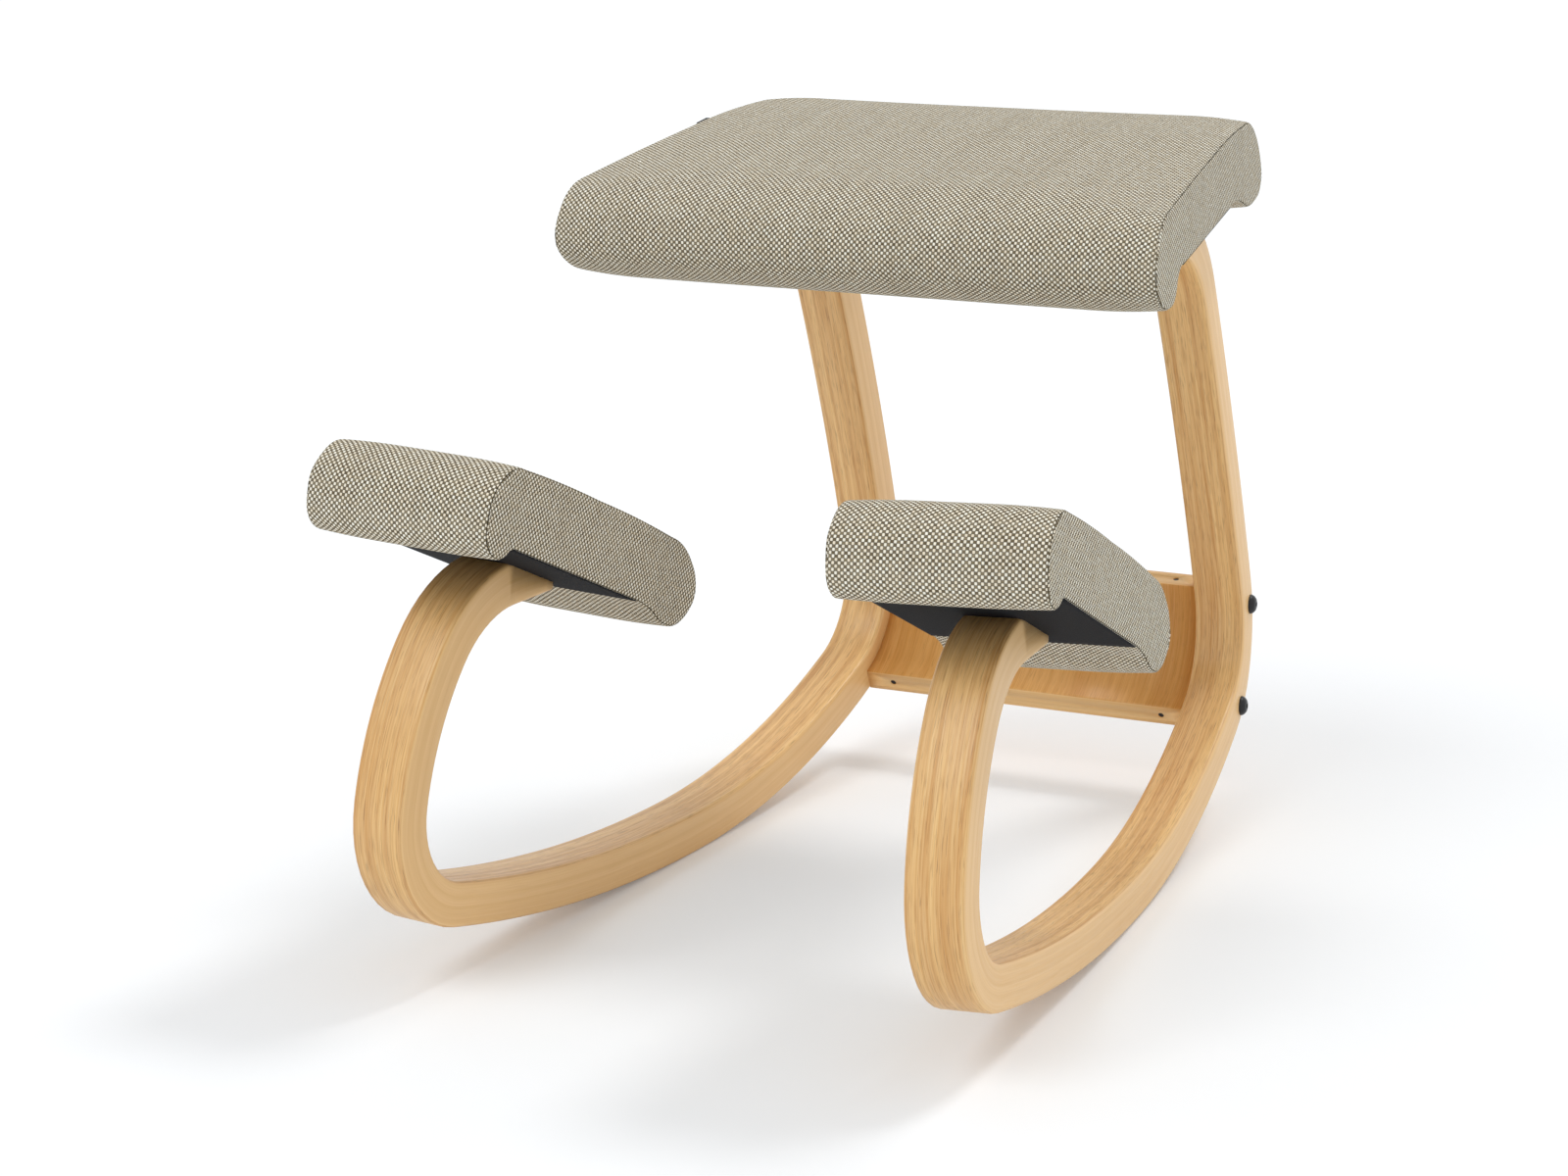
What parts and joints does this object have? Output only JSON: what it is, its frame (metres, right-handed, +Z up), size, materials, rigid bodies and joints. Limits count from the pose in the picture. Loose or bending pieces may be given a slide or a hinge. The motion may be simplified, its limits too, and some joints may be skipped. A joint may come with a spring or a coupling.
{
  "type": "kneeling chair",
  "caption": "Rocking kneeling chair: bent laminated wood runners joined by a curved cross panel, with a padded sloping seat and padded knee rests.",
  "frame": {"origin": "on the floor, in the middle of the chair's bounding box in plan", "axes": "+X to the right across the chair, +Y from the knee pads towards the seat, +Z up"},
  "size_m": [0.516, 0.7324, 0.5567],
  "materials": {
    "runner_wood": "satin clear lacquer on laminated beech",
    "panel_wood": "satin clear lacquer on moulded plywood",
    "black_bolt": "black satin",
    "zinc_steel": "zinc plated",
    "plywood": "raw plywood",
    "foam": "upholstery foam",
    "woven_cover": "coarse woven upholstery cloth",
    "underside_cloth": "thin non-woven cloth",
    "tag_fabric": "plain woven loop tag"
  },
  "bodies": {
    "root": {"left_runner": "runner_wood", "right_runner": "runner_wood", "cross_panel": "panel_wood", "frame_bolts": "black_bolt", "insert_nuts": "zinc_steel", "lock_pins": "zinc_steel", "seat_plate": "plywood", "seat_foam": "foam", "seat_cover": "woven_cover", "seat_left_panel": "woven_cover", "seat_right_panel": "woven_cover", "seat_bottom_cloth": "underside_cloth", "seat_bolts": "zinc_steel", "seat_tee_nuts": "zinc_steel", "seat_tag": "tag_fabric", "knee_bolts": "zinc_steel", "knee_tee_nuts": "zinc_steel", "left_knee_plate": "plywood", "left_knee_foam": "foam", "left_knee_cover": "woven_cover", "left_knee_inner_panel": "woven_cover", "left_knee_outer_panel": "woven_cover", "left_knee_bottom_cloth": "underside_cloth", "right_knee_plate": "plywood", "right_knee_foam": "foam", "right_knee_cover": "woven_cover", "right_knee_inner_panel": "woven_cover", "right_knee_outer_panel": "woven_cover", "right_knee_bottom_cloth": "underside_cloth"}
  },
  "joints": []
}
